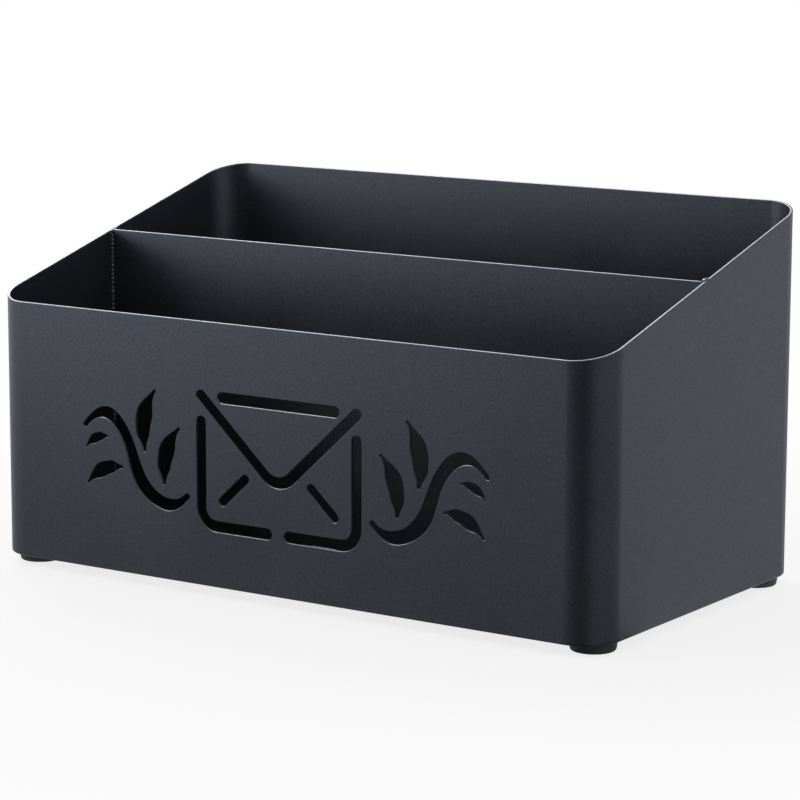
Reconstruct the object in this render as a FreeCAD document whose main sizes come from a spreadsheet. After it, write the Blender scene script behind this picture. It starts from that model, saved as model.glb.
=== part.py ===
import FreeCAD, Part
import math
import os

import Sketcher

from FreeCAD import Placement, Rotation, Vector

# Two-slot desk sorter for letters, in painted sheet steel, in millimetres.
# One strip is bent round into the four walls, its ends welded at the middle of the back.
# A base plate and an upright divider are welded inside it, on four rubber feet.
# The origin is on the desk under the middle of the plan, with the low wall in front at -Y.

SIZES = [
    ("sorter_width", 280.0),
    ("sorter_depth", 154.0),
    ("front_height", 102.7),
    ("back_height", 145.2),
    ("corner_radius", 15.0),
    ("wall_sheet", 1.2),
    ("lower_edge_round", 1.0),
    ("seam_width", 1.0),
    ("base_sheet", 1.2),
    ("base_gap", 0.2),
    ("divider_sheet", 1.2),
    ("divider_forward", 2.5),
    ("divider_end_gap", 0.3),
    ("divider_bead_leg", 0.9),
    ("divider_bead_drop", 1.6),
    ("rim_tack_radius", 1.8),
    ("rim_tack_rise", 0.3),
    ("base_bead_leg", 1.6),
    ("base_bead_length", 13.0),
    ("foot_top_radius", 9.0),
    ("foot_bottom_radius", 8.5),
    ("foot_edge_round", 1.0),
    ("foot_height", 3.7),
    ("foot_inset_side", 10.9),
    ("foot_inset_end", 14.9),
    ("adhesive_radius", 8.2),
    ("adhesive_thickness", 0.3),
    ("stencil_centre_height", 49.0),
    ("envelope_width", 72.0),
    ("envelope_height", 50.0),
    ("envelope_corner", 7.0),
    ("envelope_stroke", 4.4),
    ("envelope_bridge", 5.6),
    ("flap_drop", 33.0),
    ("flap_corner", 9.0),
    ("fold_stroke", 3.7),
    ("fold_length", 14.5),
    ("sprig_gap", 7.0),
    ("sprig_reach", 50.0),
    ("sprig_rise", 40.0),
    ("stem_stroke", 6.2),
    ("leaf_length", 24.0),
    ("leaf_stroke", 7.6),
    ("overrun", 5.0),
]

# Long walls have a row of base welds; the side walls have one in each slot.
WALL_STITCH_SHARES = (-0.4, -0.2, 0.0, 0.2, 0.4)
DIVIDER_STITCH_SHARES = (-0.375, -0.125, 0.125, 0.375)

# The stem's points: shares of the sprig's reach and rise, and of the stem's full stroke.
STEM_SHARES = (
    (0.00, -0.375, 0.39),
    (0.22, -0.475, 0.84),
    (0.44, -0.300, 1.00),
    (0.56, 0.050, 0.81),
    (0.74, 0.325, 0.84),
    (1.00, 0.200, 0.32),
)

# Each leaf: where it starts as shares of reach and rise, its heading in degrees,
# its size as a share of the full leaf, and how far it bows as a share of its length.
LEAF_SHARES = (
    (0.22, -0.275, 108.0, 0.96, -0.12),
    (0.41, 0.025, 102.0, 1.00, -0.12),
    (0.64, -0.175, -25.0, 0.76, 0.12),
    (0.78, 0.112, -26.0, 0.48, 0.12),
)

# A leaf's points along its length, with the share of its bow and of its stroke there.
LEAF_FORM_SHARES = (
    (0.00, 0.0, 0.20),
    (0.28, 0.8, 0.86),
    (0.55, 1.0, 1.00),
    (1.00, 0.0, 0.16),
)

RIBBON_STATIONS = 24

# The largest share of its sheet or foot height that a rounded edge may take.
ROUNDING_LIMIT_SHARE = 0.9

X = Vector(1, 0, 0)
Y = Vector(0, 1, 0)
Z = Vector(0, 0, 1)

doc = FreeCAD.newDocument("envelope_sorter")
sheet = doc.addObject("Spreadsheet::Sheet", "Sizes")
for row, (alias, value) in enumerate(SIZES, start=1):
    sheet.set(f"A{row}", alias)
    sheet.set(f"B{row}", str(value))
    sheet.setAlias(f"B{row}", alias)
doc.recompute()


def size(alias):
    """A driving dimension, read from the sheet."""
    return float(sheet.get(alias))


def bind(item, **formulas):
    """Tie properties of an object to formulas on the sheet; a double underscore is a dot."""
    for name, formula in formulas.items():
        item.setExpression(name.replace("__", "."), formula)


def place(item, x, y, z, rotation=None):
    """Put an object at a place given by three formulas, turned by a fixed rotation."""
    item.Placement = Placement(Vector(), rotation or Rotation())
    bind(item, Placement__Base__x=x, Placement__Base__y=y, Placement__Base__z=z)


# Places that several pieces share, as formulas on the sheet.
LIFT = "(Sizes.foot_height + Sizes.adhesive_thickness)"
FLOOR = f"({LIFT} + Sizes.base_sheet)"
INNER_SIDE = "(Sizes.sorter_width / 2 - Sizes.wall_sheet)"
INNER_END = "(Sizes.sorter_depth / 2 - Sizes.wall_sheet)"
SLOPE = "((Sizes.back_height - Sizes.front_height) / Sizes.sorter_depth)"
DIVIDER_FRONT = "(-Sizes.divider_forward - Sizes.divider_sheet / 2)"
DIVIDER_BACK = "(-Sizes.divider_forward + Sizes.divider_sheet / 2)"
DIVIDER_TOP = f"(Sizes.front_height + {SLOPE} * (Sizes.sorter_depth / 2 - Sizes.divider_forward))"


def origin_plane(body, role):
    return next(item for item in body.Origin.OriginFeatures if item.Role == role)


def new_sketch(body, name, role):
    """A sketch of the body, lying on one of the body's own origin planes."""
    sketch = body.newObject("Sketcher::SketchObject", name)
    sketch.AttachmentSupport = [(origin_plane(body, role), "")]
    sketch.MapMode = "FlatFace"
    return sketch


def dimension(sketch, name, formula, *constraint):
    """Add a named dimension to a sketch and tie it to a formula."""
    index = sketch.addConstraint(Sketcher.Constraint(*constraint))
    sketch.renameConstraint(index, name)
    sketch.setExpression(f"Constraints.{name}", formula)


def draw_rounded_rectangle(sketch, prefix, wide, deep, radius, formulas):
    """Four lines and four corner arcs about the origin, tied to three formulas."""
    x, y = wide / 2, deep / 2
    flat_x, flat_y = x - radius, y - radius
    lines = sketch.addGeometry([
        Part.LineSegment(Vector(-flat_x, -y), Vector(flat_x, -y)),
        Part.LineSegment(Vector(x, -flat_y), Vector(x, flat_y)),
        Part.LineSegment(Vector(flat_x, y), Vector(-flat_x, y)),
        Part.LineSegment(Vector(-x, flat_y), Vector(-x, -flat_y)),
    ])
    centres = ((flat_x, -flat_y), (flat_x, flat_y), (-flat_x, flat_y), (-flat_x, -flat_y))
    quarter = math.pi / 2
    arcs = sketch.addGeometry([
        Part.ArcOfCircle(Part.Circle(Vector(*centre), Z, radius), (k - 1) * quarter, k * quarter)
        for k, centre in enumerate(centres)
    ])
    for k in range(4):
        sketch.addConstraint(Sketcher.Constraint("Tangent", lines[k], 2, arcs[k], 1))
        sketch.addConstraint(Sketcher.Constraint("Tangent", arcs[k], 2, lines[(k + 1) % 4], 1))
        if k:
            sketch.addConstraint(Sketcher.Constraint("Equal", arcs[0], arcs[k]))
    for k, way in enumerate(("Horizontal", "Vertical", "Horizontal", "Vertical")):
        sketch.addConstraint(Sketcher.Constraint(way, lines[k]))
    sketch.addConstraint(Sketcher.Constraint("Symmetric", arcs[0], 3, arcs[2], 3, -1, 1))
    dimension(sketch, prefix + "_wide", formulas[0], "DistanceX", lines[3], 1, lines[1], 1, wide)
    dimension(sketch, prefix + "_deep", formulas[1], "DistanceY", lines[0], 1, lines[2], 1, deep)
    dimension(sketch, prefix + "_radius", formulas[2], "Radius", arcs[0], radius)


def draw_polygon(sketch, prefix, corners, formulas):
    """Straight lines round the corners, each corner tied to a pair of formulas."""
    points = [Vector(*corner) for corner in corners]
    count = len(points)
    lines = sketch.addGeometry([
        Part.LineSegment(points[k], points[(k + 1) % count]) for k in range(count)
    ])
    for k, line in enumerate(lines):
        following = lines[(k + 1) % count]
        sketch.addConstraint(Sketcher.Constraint("Coincident", line, 2, following, 1))
        x, y = corners[k]
        dimension(sketch, f"{prefix}_x{k}", formulas[k][0], "DistanceX", line, 1, x)
        dimension(sketch, f"{prefix}_y{k}", formulas[k][1], "DistanceY", line, 1, y)
    return lines


def new_body(name):
    return doc.addObject("PartDesign::Body", name)


def pad(body, name, sketch, length):
    feature = body.newObject("PartDesign::Pad", name)
    feature.Profile = sketch
    bind(feature, Length=length)
    return feature


def make_ring():
    """The closed band of walls: bent corners, sloping rim, rounded lower edge."""
    body = new_body("wall_ring")
    plan = new_sketch(body, "wall_plan", "XY_Plane")
    wide, deep = size("sorter_width"), size("sorter_depth")
    radius, gauge = size("corner_radius"), size("wall_sheet")
    draw_rounded_rectangle(plan, "outer", wide, deep, radius, (
        "Sizes.sorter_width", "Sizes.sorter_depth", "Sizes.corner_radius"))
    draw_rounded_rectangle(plan, "inner", wide - 2 * gauge, deep - 2 * gauge, radius - gauge, (
        "Sizes.sorter_width - 2 * Sizes.wall_sheet",
        "Sizes.sorter_depth - 2 * Sizes.wall_sheet",
        "Sizes.corner_radius - Sizes.wall_sheet"))
    walls = pad(body, "wall_height", plan, "Sizes.back_height")

    rim = new_sketch(body, "rim_slope", "YZ_Plane")
    over = size("overrun")
    rise = size("back_height") - size("front_height")
    slope = rise / deep
    ends = (-deep / 2 - over, deep / 2 + over)
    top = size("back_height") + over * (1 + slope)
    corners = [
        (ends[0], size("front_height") - over * slope),
        (ends[1], size("back_height") + over * slope),
        (ends[1], top),
        (ends[0], top),
    ]
    front = "-Sizes.sorter_depth / 2 - Sizes.overrun"
    back = "Sizes.sorter_depth / 2 + Sizes.overrun"
    above = f"Sizes.back_height + Sizes.overrun * (1 + {SLOPE})"
    draw_polygon(rim, "rim", corners, [
        (front, f"Sizes.front_height - Sizes.overrun * {SLOPE}"),
        (back, f"Sizes.back_height + Sizes.overrun * {SLOPE}"),
        (back, above),
        (front, above),
    ])
    cut = body.newObject("PartDesign::Pocket", "rim_cut")
    cut.Profile = rim
    cut.SideType = "Symmetric"
    bind(cut, Length="Sizes.sorter_width + 2 * Sizes.overrun")
    doc.recompute()
    if cut.Shape.Volume >= walls.Shape.Volume:
        raise RuntimeError("the rim was not cut")

    lower = body.newObject("PartDesign::Fillet", "lower_edge")
    box = cut.Shape.BoundBox
    inside = radius - gauge / 2
    names = []
    for index, edge in enumerate(cut.Shape.Edges, start=1):
        middle = edge.valueAt((edge.FirstParameter + edge.LastParameter) / 2)
        flat = edge.BoundBox.ZMax - box.ZMin < gauge / 2
        if flat and is_outside(middle, wide - gauge, deep - gauge, inside):
            names.append(f"Edge{index}")
    lower.Base = (cut, names)
    bind(lower, Radius=f"min(Sizes.lower_edge_round; {ROUNDING_LIMIT_SHARE} * Sizes.wall_sheet)")
    place(body, "0", "0", LIFT)
    return body


def is_outside(point, wide, deep, radius):
    """Whether a point lies outside a rounded rectangle about the origin."""
    x = abs(point.x) - (wide / 2 - radius)
    y = abs(point.y) - (deep / 2 - radius)
    return math.hypot(max(x, 0), max(y, 0)) + min(max(x, y), 0) > radius


def flat(x, z):
    """A point of the front wall's drawing."""
    return Vector(x, 0, z)


def sideways(direction):
    """The direction a quarter turn to the left, in the front wall's drawing."""
    return Vector(-direction.z, 0, direction.x)


def closed_face(left, right, start_cap, end_cap):
    """A face between two sides that run the same way, with rounded ends."""
    edges = list(left) + [end_cap] + list(right) + [start_cap]
    return Part.Face(Part.Wire(Part.__sortEdges__([edge.toShape() for edge in edges])))


def cap(point, direction, half):
    """The half circle that closes a stroke, bulging along the direction."""
    side = sideways(direction) * half
    return Part.Arc(point + side, point + direction * half, point - side)


def channel(corners, radius, stroke):
    """A stroke of one width along straight runs, joined by tangent arcs."""
    half = stroke / 2
    runs = [(b - a).normalize() for a, b in zip(corners, corners[1:])]
    left, right = [], []
    start = corners[0]
    for k, run in enumerate(runs):
        end = corners[k + 1]
        last = k == len(runs) - 1
        if not last:
            following = runs[k + 1]
            turn = run.getAngle(following)
            end = end - run * (radius * math.tan(turn / 2))
        for sides, sign in ((left, 1), (right, -1)):
            shift = sideways(run) * (half * sign)
            sides.append(Part.LineSegment(start + shift, end + shift))
        if last:
            break
        hand = 1 if sideways(run).dot(following) > 0 else -1
        centre = end + sideways(run) * (radius * hand)
        leave = centre - sideways(following) * (radius * hand)
        middle = (sideways(run) + sideways(following)).normalize()
        for sides, sign in ((left, 1), (right, -1)):
            reach = radius - half * sign * hand
            sides.append(Part.Arc(
                centre - sideways(run) * (reach * hand),
                centre - middle * (reach * hand),
                centre - sideways(following) * (reach * hand)))
        start = leave
    return closed_face(left, right, cap(corners[0], -runs[0], half), cap(corners[-1], runs[-1], half))


def eased(values, place_along):
    """A value that changes smoothly from each listed value to the next."""
    index = min(int(place_along), len(values) - 2)
    part = place_along - index
    weight = part * part * (3 - 2 * part)
    return values[index] * (1 - weight) + values[index + 1] * weight


def ribbon(points, strokes):
    """A stroke of changing width along a smooth line through the points."""
    lengths = [0.0]
    for a, b in zip(points, points[1:]):
        lengths.append(lengths[-1] + a.distanceToPoint(b))
    line = Part.BSplineCurve()
    line.interpolate(Points=points, Parameters=lengths)
    left, right, frames = [], [], []
    for station in range(RIBBON_STATIONS + 1):
        at = lengths[-1] * station / RIBBON_STATIONS
        segment = max(k for k in range(len(points) - 1) if lengths[k] <= at or k == 0)
        span = lengths[segment + 1] - lengths[segment]
        half = eased(strokes, segment + (at - lengths[segment]) / span) / 2
        point = line.value(at)
        direction = line.tangent(at)[0]
        side = sideways(direction) * half
        left.append(point + side)
        right.append(point - side)
        frames.append((point, direction, half))
    sides = []
    for offsets in (left, right):
        side = Part.BSplineCurve()
        side.interpolate(offsets)
        sides.append(side)
    point, direction, half = frames[0]
    return closed_face([sides[0]], [sides[1]], cap(point, -direction, half), cap(*frames[-1]))


def envelope_strokes():
    """The right half of the back of an envelope, and the strokes on its middle line."""
    half_wide, half_high = size("envelope_width") / 2, size("envelope_height") / 2
    stroke, corner = size("envelope_stroke"), size("envelope_corner")
    step = size("envelope_bridge") + stroke
    side = channel([
        flat(half_wide, half_high - step),
        flat(half_wide, -half_high),
        flat(step / 2, -half_high),
    ], corner, stroke)
    fold_way = flat(half_wide, -size("flap_drop")).normalize()
    fold_end = flat(half_wide, -half_high) + flat(-1, 1) * step
    fold = channel([
        fold_end,
        fold_end - fold_way * size("fold_length"),
    ], corner, size("fold_stroke"))
    top = channel([
        flat(step - half_wide, half_high),
        flat(half_wide - step, half_high),
    ], corner, stroke)
    flap = channel([
        flat(-half_wide, half_high),
        flat(0, half_high - size("flap_drop")),
        flat(half_wide, half_high),
    ], size("flap_corner"), stroke)
    return [side, fold], [top, flap]


def sprig_strokes():
    """A curved stem with leaves, to the right of the envelope."""
    root = size("envelope_width") / 2 + size("sprig_gap")
    reach, rise = size("sprig_reach"), size("sprig_rise")
    stem = ribbon(
        [flat(root + along * reach, up * rise) for along, up, share in STEM_SHARES],
        [share * size("stem_stroke") for along, up, share in STEM_SHARES])
    strokes = [stem]
    for along, up, heading, scale, bow in LEAF_SHARES:
        start = flat(root + along * reach, up * rise)
        angle = math.radians(heading)
        direction = flat(math.cos(angle), math.sin(angle))
        length = size("leaf_length") * scale
        strokes.append(ribbon(
            [start + direction * (length * run) + sideways(direction) * (length * bow * out)
             for run, out, share in LEAF_FORM_SHARES],
            [size("leaf_stroke") * scale * share for run, out, share in LEAF_FORM_SHARES]))
    return strokes


def make_stencil():
    """The solid that cuts the ornament through the front wall, also at its bends."""
    pairs, single = envelope_strokes()
    pairs += sprig_strokes()
    mirrored = [face.mirror(Vector(), X) for face in pairs]
    depth = size("corner_radius") + size("overrun")
    prisms = [face.extrude(Y * depth) for face in pairs + mirrored + single]
    cutter = doc.addObject("Part::Feature", "stencil_cutter")
    cutter.Shape = prisms[0].multiFuse(prisms[1:])
    place(cutter, "0", "-Sizes.sorter_depth / 2 - Sizes.overrun",
          f"{LIFT} + Sizes.stencil_centre_height")
    return cutter


def new_boolean(kind, name, base, tool):
    feature = doc.addObject(kind, name)
    feature.Base = base
    feature.Tool = tool
    return feature


def make_walls():
    """The bent strip, open at its seam and cut by the stencil, and the weld in the seam."""
    ring = make_ring()
    slit = doc.addObject("Part::Box", "seam_slit")
    bind(slit, Length="Sizes.seam_width", Width="Sizes.wall_sheet + 2 * Sizes.overrun",
         Height="Sizes.back_height + 2 * Sizes.overrun")
    place(slit, "-Sizes.seam_width / 2", f"{INNER_END} - Sizes.overrun", f"{LIFT} - Sizes.overrun")
    strip = new_boolean("Part::Cut", "open_strip", ring, slit)
    band = new_boolean("Part::Cut", "wall_band", strip, make_stencil())
    weld = new_boolean("Part::Common", "band_seam_weld", ring, slit)
    return [band, weld]


def make_base():
    body = new_body("base_plate")
    plan = new_sketch(body, "base_plan", "XY_Plane")
    margin = size("wall_sheet") + size("base_gap")
    inset = "(Sizes.wall_sheet + Sizes.base_gap)"
    draw_rounded_rectangle(
        plan, "base",
        size("sorter_width") - 2 * margin,
        size("sorter_depth") - 2 * margin,
        size("corner_radius") - margin, (
            f"Sizes.sorter_width - 2 * {inset}",
            f"Sizes.sorter_depth - 2 * {inset}",
            f"Sizes.corner_radius - {inset}"))
    pad(body, "base_thickness", plan, "Sizes.base_sheet")
    place(body, "0", "0", LIFT)
    return [body]


def make_divider():
    """The upright plate, its top edge in the plane of the sloping rim."""
    plate = doc.addObject("Part::Box", "divider")
    bind(plate, Length=f"2 * ({INNER_SIDE} - Sizes.divider_end_gap)",
         Width="Sizes.divider_sheet", Height=f"{DIVIDER_TOP} - Sizes.base_sheet")
    place(plate, f"-({INNER_SIDE} - Sizes.divider_end_gap)", DIVIDER_FRONT, FLOOR)
    return [plate]


def quarter_bead(name, leg, length, corner, along, first):
    """A weld bead that fills an inner corner: a quarter of a round bar."""
    bead = doc.addObject("Part::Cylinder", name)
    bead.Angle = 90
    bind(bead, Radius=leg, Height=length)
    place(bead, *corner, Rotation(first, along.cross(first), along, "ZXY"))
    return bead


def make_divider_welds():
    """A fine bead up each end of the divider, in front, and a tack behind each top corner."""
    pieces = []
    foot = f"({FLOOR} + 2 * Sizes.base_bead_leg)"
    length = f"{DIVIDER_TOP} + {LIFT} - Sizes.divider_bead_drop - {foot}"
    tack_height = f"{LIFT} + {DIVIDER_TOP} + Sizes.rim_tack_rise - Sizes.rim_tack_radius"
    for side, sign, bead_start, tack_start in (("left", "-", -Y, X), ("right", "", -X, Y)):
        corner = f"{sign}{INNER_SIDE}"
        pieces.append(quarter_bead(
            f"divider_weld_{side}", "Sizes.divider_bead_leg", length,
            (corner, DIVIDER_FRONT, foot), Z, bead_start))
        tack = doc.addObject("Part::Sphere", f"rim_tack_{side}")
        tack.Angle3 = 90
        bind(tack, Radius="Sizes.rim_tack_radius")
        place(tack, corner, DIVIDER_BACK, tack_height, Rotation(tack_start, Z.cross(tack_start), Z, "ZXY"))
        pieces.append(tack)
    return pieces


def make_weld_row(name, places, along, first):
    """A broken row of beads in one inner corner, kept together as one piece name."""
    row = doc.addObject("Part::Compound", name)
    row.Links = [
        quarter_bead(f"{name}_{k}", "Sizes.base_bead_leg", "Sizes.base_bead_length", corner, along, first)
        for k, corner in enumerate(places, start=1)
    ]
    return row


def make_base_welds():
    """The beads that hold the base plate to the walls, and the divider to the base plate."""
    run = "(Sizes.sorter_width - 2 * Sizes.corner_radius)"
    half = "Sizes.base_bead_length / 2"

    def in_a_line(shares, y):
        return [(f"{share} * {run} - {half}", y, FLOOR) for share in shares]

    slots = [
        f"({DIVIDER_FRONT} - {INNER_END}) / 2 - {half}",
        f"({DIVIDER_BACK} + {INNER_END}) / 2 - {half}",
    ]
    return [
        make_weld_row("base_weld_front", in_a_line(WALL_STITCH_SHARES, f"-{INNER_END}"), X, Y),
        make_weld_row("base_weld_back", in_a_line(WALL_STITCH_SHARES, INNER_END), X, Z),
        make_weld_row("base_weld_left", [(f"-{INNER_SIDE}", y, FLOOR) for y in slots], Y, Z),
        make_weld_row("base_weld_right", [(INNER_SIDE, y, FLOOR) for y in slots], Y, -X),
        make_weld_row("divider_foot_weld", in_a_line(DIVIDER_STITCH_SHARES, DIVIDER_FRONT), X, Z),
    ]


def make_foot(name, x, y):
    """A low rubber foot: a tapered disc with a rounded tread."""
    body = new_body(name)
    profile = new_sketch(body, name + "_profile", "XZ_Plane")
    tread, top, high = size("foot_bottom_radius"), size("foot_top_radius"), size("foot_height")
    draw_polygon(profile, "foot", [(0, 0), (tread, 0), (top, high), (0, high)], [
        ("0", "0"),
        ("Sizes.foot_bottom_radius", "0"),
        ("Sizes.foot_top_radius", "Sizes.foot_height"),
        ("0", "Sizes.foot_height"),
    ])
    turned = body.newObject("PartDesign::Revolution", name + "_turned")
    turned.Profile = profile
    turned.ReferenceAxis = (profile, ["V_Axis"])
    turned.Angle = 360
    doc.recompute()
    rounding = body.newObject("PartDesign::Fillet", name + "_rounding")
    shape = turned.Shape
    rounding.Base = (turned, [
        f"Edge{index}" for index, edge in enumerate(shape.Edges, start=1)
        if edge.BoundBox.ZMax < high / 2
    ])
    bind(rounding, Radius=f"min(Sizes.foot_edge_round; {ROUNDING_LIMIT_SHARE} * Sizes.foot_height)")
    place(body, x, y, "0")
    return body


def make_feet():
    pieces = []
    for end, y in (("front", "-(Sizes.sorter_depth / 2 - Sizes.foot_inset_end)"),
                   ("back", "(Sizes.sorter_depth / 2 - Sizes.foot_inset_end)")):
        for side, x in (("left", "-(Sizes.sorter_width / 2 - Sizes.foot_inset_side)"),
                        ("right", "(Sizes.sorter_width / 2 - Sizes.foot_inset_side)")):
            pieces.append(make_foot(f"rubber_foot_{end}_{side}", x, y))
            disc = doc.addObject("Part::Cylinder", f"foot_adhesive_{end}_{side}")
            bind(disc, Radius="Sizes.adhesive_radius", Height="Sizes.adhesive_thickness")
            place(disc, x, y, "Sizes.foot_height")
            pieces.append(disc)
    return pieces


def check(pieces):
    """Stop if any object failed, or a piece is empty, broken or in loose bits."""
    for item in doc.Objects:
        if "Invalid" in item.State or "Error" in item.State:
            raise RuntimeError(f"{item.Label} failed: {item.State}")
    for piece in pieces:
        shape = piece.Shape
        if shape.isNull() or not shape.isValid() or not shape.Solids:
            raise RuntimeError(f"{piece.Label} has no sound shape")
        expected = len(piece.Links) if piece.isDerivedFrom("Part::Compound") else 1
        if len(shape.Solids) != expected:
            raise RuntimeError(f"{piece.Label} has {len(shape.Solids)} solids, not {expected}")


pieces = make_walls() + make_base() + make_divider() + make_divider_welds() + make_base_welds() + make_feet()
for piece in pieces:
    piece.Label = piece.Name
doc.recompute()
check(pieces)

os.makedirs("parts", exist_ok=True)
for piece in pieces:
    piece.Shape.exportStep(f"parts/{piece.Label}.step")
print(len(pieces), "pieces written")
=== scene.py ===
from math import atan2, copysign, cos, pi, radians, sin, sqrt, tan

import bpy
import numpy as np
from mathutils import Matrix, Vector
from mathutils.geometry import delaunay_2d_cdt


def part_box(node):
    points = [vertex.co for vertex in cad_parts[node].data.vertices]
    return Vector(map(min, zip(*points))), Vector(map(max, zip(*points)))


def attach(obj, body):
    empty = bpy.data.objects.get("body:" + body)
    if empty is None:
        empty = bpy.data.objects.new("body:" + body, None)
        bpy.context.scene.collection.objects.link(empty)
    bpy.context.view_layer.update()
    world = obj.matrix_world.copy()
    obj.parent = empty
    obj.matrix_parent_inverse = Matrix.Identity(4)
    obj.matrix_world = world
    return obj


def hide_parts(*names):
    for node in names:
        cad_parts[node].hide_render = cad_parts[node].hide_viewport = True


# Two-slot letter sorter in powder-coated sheet steel, on four rubber feet.
# Lengths are in metres. The desk is z = 0 and the low front wall faces -Y.

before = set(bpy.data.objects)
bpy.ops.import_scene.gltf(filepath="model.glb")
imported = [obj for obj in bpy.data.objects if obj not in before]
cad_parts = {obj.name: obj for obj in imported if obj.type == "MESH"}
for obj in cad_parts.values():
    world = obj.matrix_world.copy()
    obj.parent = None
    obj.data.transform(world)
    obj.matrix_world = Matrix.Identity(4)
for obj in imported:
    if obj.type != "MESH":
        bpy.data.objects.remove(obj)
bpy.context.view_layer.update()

MM = 0.001
rng = np.random.default_rng(41)

X, Y, Z = np.eye(3)


def corners_of(node):
    """The lowest and highest corner of a CAD node, as arrays."""
    low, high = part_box(node)
    return np.array(low), np.array(high)


# Sizes of the bent strip, most of them read from the frame.
WALLS_LOW, WALLS_HIGH = corners_of("wall_band")
PLATE_LOW, PLATE_HIGH = corners_of("base_plate")
DIVIDER_LOW, DIVIDER_HIGH = corners_of("divider")
WIDTH = WALLS_HIGH[0] - WALLS_LOW[0]
DEPTH = WALLS_HIGH[1] - WALLS_LOW[1]
LIFT = WALLS_LOW[2]
BACK_TOP = WALLS_HIGH[2]
FRONT_TOP = LIFT + 102.7 * MM
BEND_RADIUS = 15 * MM
GAUGE = 1.2 * MM
SEAM_WIDTH = 1.0 * MM
RIM_SLOPE = (BACK_TOP - FRONT_TOP) / DEPTH

# How far the cut edges of the sheet are rounded by blasting and the coat.
RIM_ROUND = 0.4 * MM
HOLE_ROUND = 0.28 * MM
SEAM_ROUND = 0.02 * MM
LOWER_ROUND = 1.0 * MM
LOWER_INNER_ROUND = 0.14 * MM
DIVIDER_FOOT_ROUND = 0.12 * MM
PLATE_ROUND = 0.25 * MM
ROUND_STEPS = 5
BEND_STEPS = 22

# A square corner's mitred normals reach this far, to the outline's next point.
SHOULDER = 1.0 * MM
MITRE_LIMIT = 2.0

# A mesh without normals of its own is creased where it turns by more than this.
SHARP_TURN = radians(40)

# The ornament cut through the front wall, about its own centre.
STENCIL_CENTRE = np.array((0.0, LIFT + 49 * MM))
ENVELOPE_WIDTH = 72 * MM
ENVELOPE_HEIGHT = 50 * MM
ENVELOPE_CORNER = 7 * MM
ENVELOPE_STROKE = 4.4 * MM
ENVELOPE_BRIDGE = 5.6 * MM
FLAP_DROP = 33 * MM
FLAP_CORNER = 9 * MM
FOLD_STROKE = 3.7 * MM
FOLD_LENGTH = 14.5 * MM
SPRIG_ROOT = ENVELOPE_WIDTH / 2 + 7 * MM
SPRIG_REACH = 50 * MM
SPRIG_RISE = 40 * MM
STEM_STROKE = 6.2 * MM
LEAF_LENGTH = 24 * MM
LEAF_STROKE = 7.6 * MM
CAP_STEPS = 10
ARC_STEPS = 14
RIBBON_STEPS = 56

# Triangles round the ornament: their size, and how near two points are taken for one.
STENCIL_MESH = 6 * MM
MERGE_DISTANCE = 1e-7

# Stem points as shares of the sprig's reach and rise, with the share of the full stroke there.
STEM = (
    (0.00, -0.375, 0.39),
    (0.22, -0.475, 0.84),
    (0.44, -0.300, 1.00),
    (0.56, 0.050, 0.81),
    (0.74, 0.325, 0.84),
    (1.00, 0.200, 0.32),
)

# Leaves: place along and up, heading in degrees, size, and how far each bows.
LEAVES = (
    (0.22, -0.275, 108.0, 0.96, -0.12),
    (0.41, 0.025, 102.0, 1.00, -0.12),
    (0.64, -0.175, -25.0, 0.76, 0.12),
    (0.78, 0.112, -26.0, 0.48, 0.12),
)

# A leaf's points along its length, with the share of its bow and of its stroke there.
LEAF_FORM = (
    (0.00, 0.0, 0.20),
    (0.28, 0.8, 0.86),
    (0.55, 1.0, 1.00),
    (1.00, 0.0, 0.16),
)


def left_of(headings):
    """The directions a quarter turn to the left of some flat headings."""
    return np.stack([-headings[..., 1], headings[..., 0]], axis=-1)


def unit(vectors):
    return vectors / np.linalg.norm(vectors, axis=-1, keepdims=True)


def stroke_outline(spine, headings, halves):
    """The closed outline of a stroke with round ends, clockwise."""
    aside = left_of(headings) * halves[:, None]
    turns = np.linspace(0, pi, CAP_STEPS + 1)[1:-1, None]
    ends = [
        spine[k] + halves[k] * (np.cos(turns) * left_of(way) + np.sin(turns) * way)
        for k, way in ((-1, headings[-1]), (0, -headings[0]))
    ]
    return np.concatenate([spine + aside, ends[0], (spine - aside)[::-1], ends[1]])


def straight_stroke(corners, stroke, radius=0.0):
    """A stroke of one width along straight runs that round bends join."""
    corners = np.array(corners)
    runs = unit(np.diff(corners, axis=0))
    spine, headings = [corners[0]], [runs[0]]
    for corner, run, following in zip(corners[1:-1], runs, runs[1:]):
        turn = atan2(run[0] * following[1] - run[1] * following[0], run @ following)
        start = corner - run * radius * tan(abs(turn) / 2)
        centre = start + left_of(run) * copysign(radius, turn)
        for share in np.linspace(0, 1, ARC_STEPS + 1):
            cosine, sine = cos(turn * share), sin(turn * share)
            heading = run * cosine + left_of(run) * sine
            spine.append(centre - left_of(heading) * copysign(radius, turn))
            headings.append(heading)
    spine.append(corners[-1])
    headings.append(runs[-1])
    return stroke_outline(np.array(spine), np.array(headings), np.full(len(spine), stroke / 2))


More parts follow.
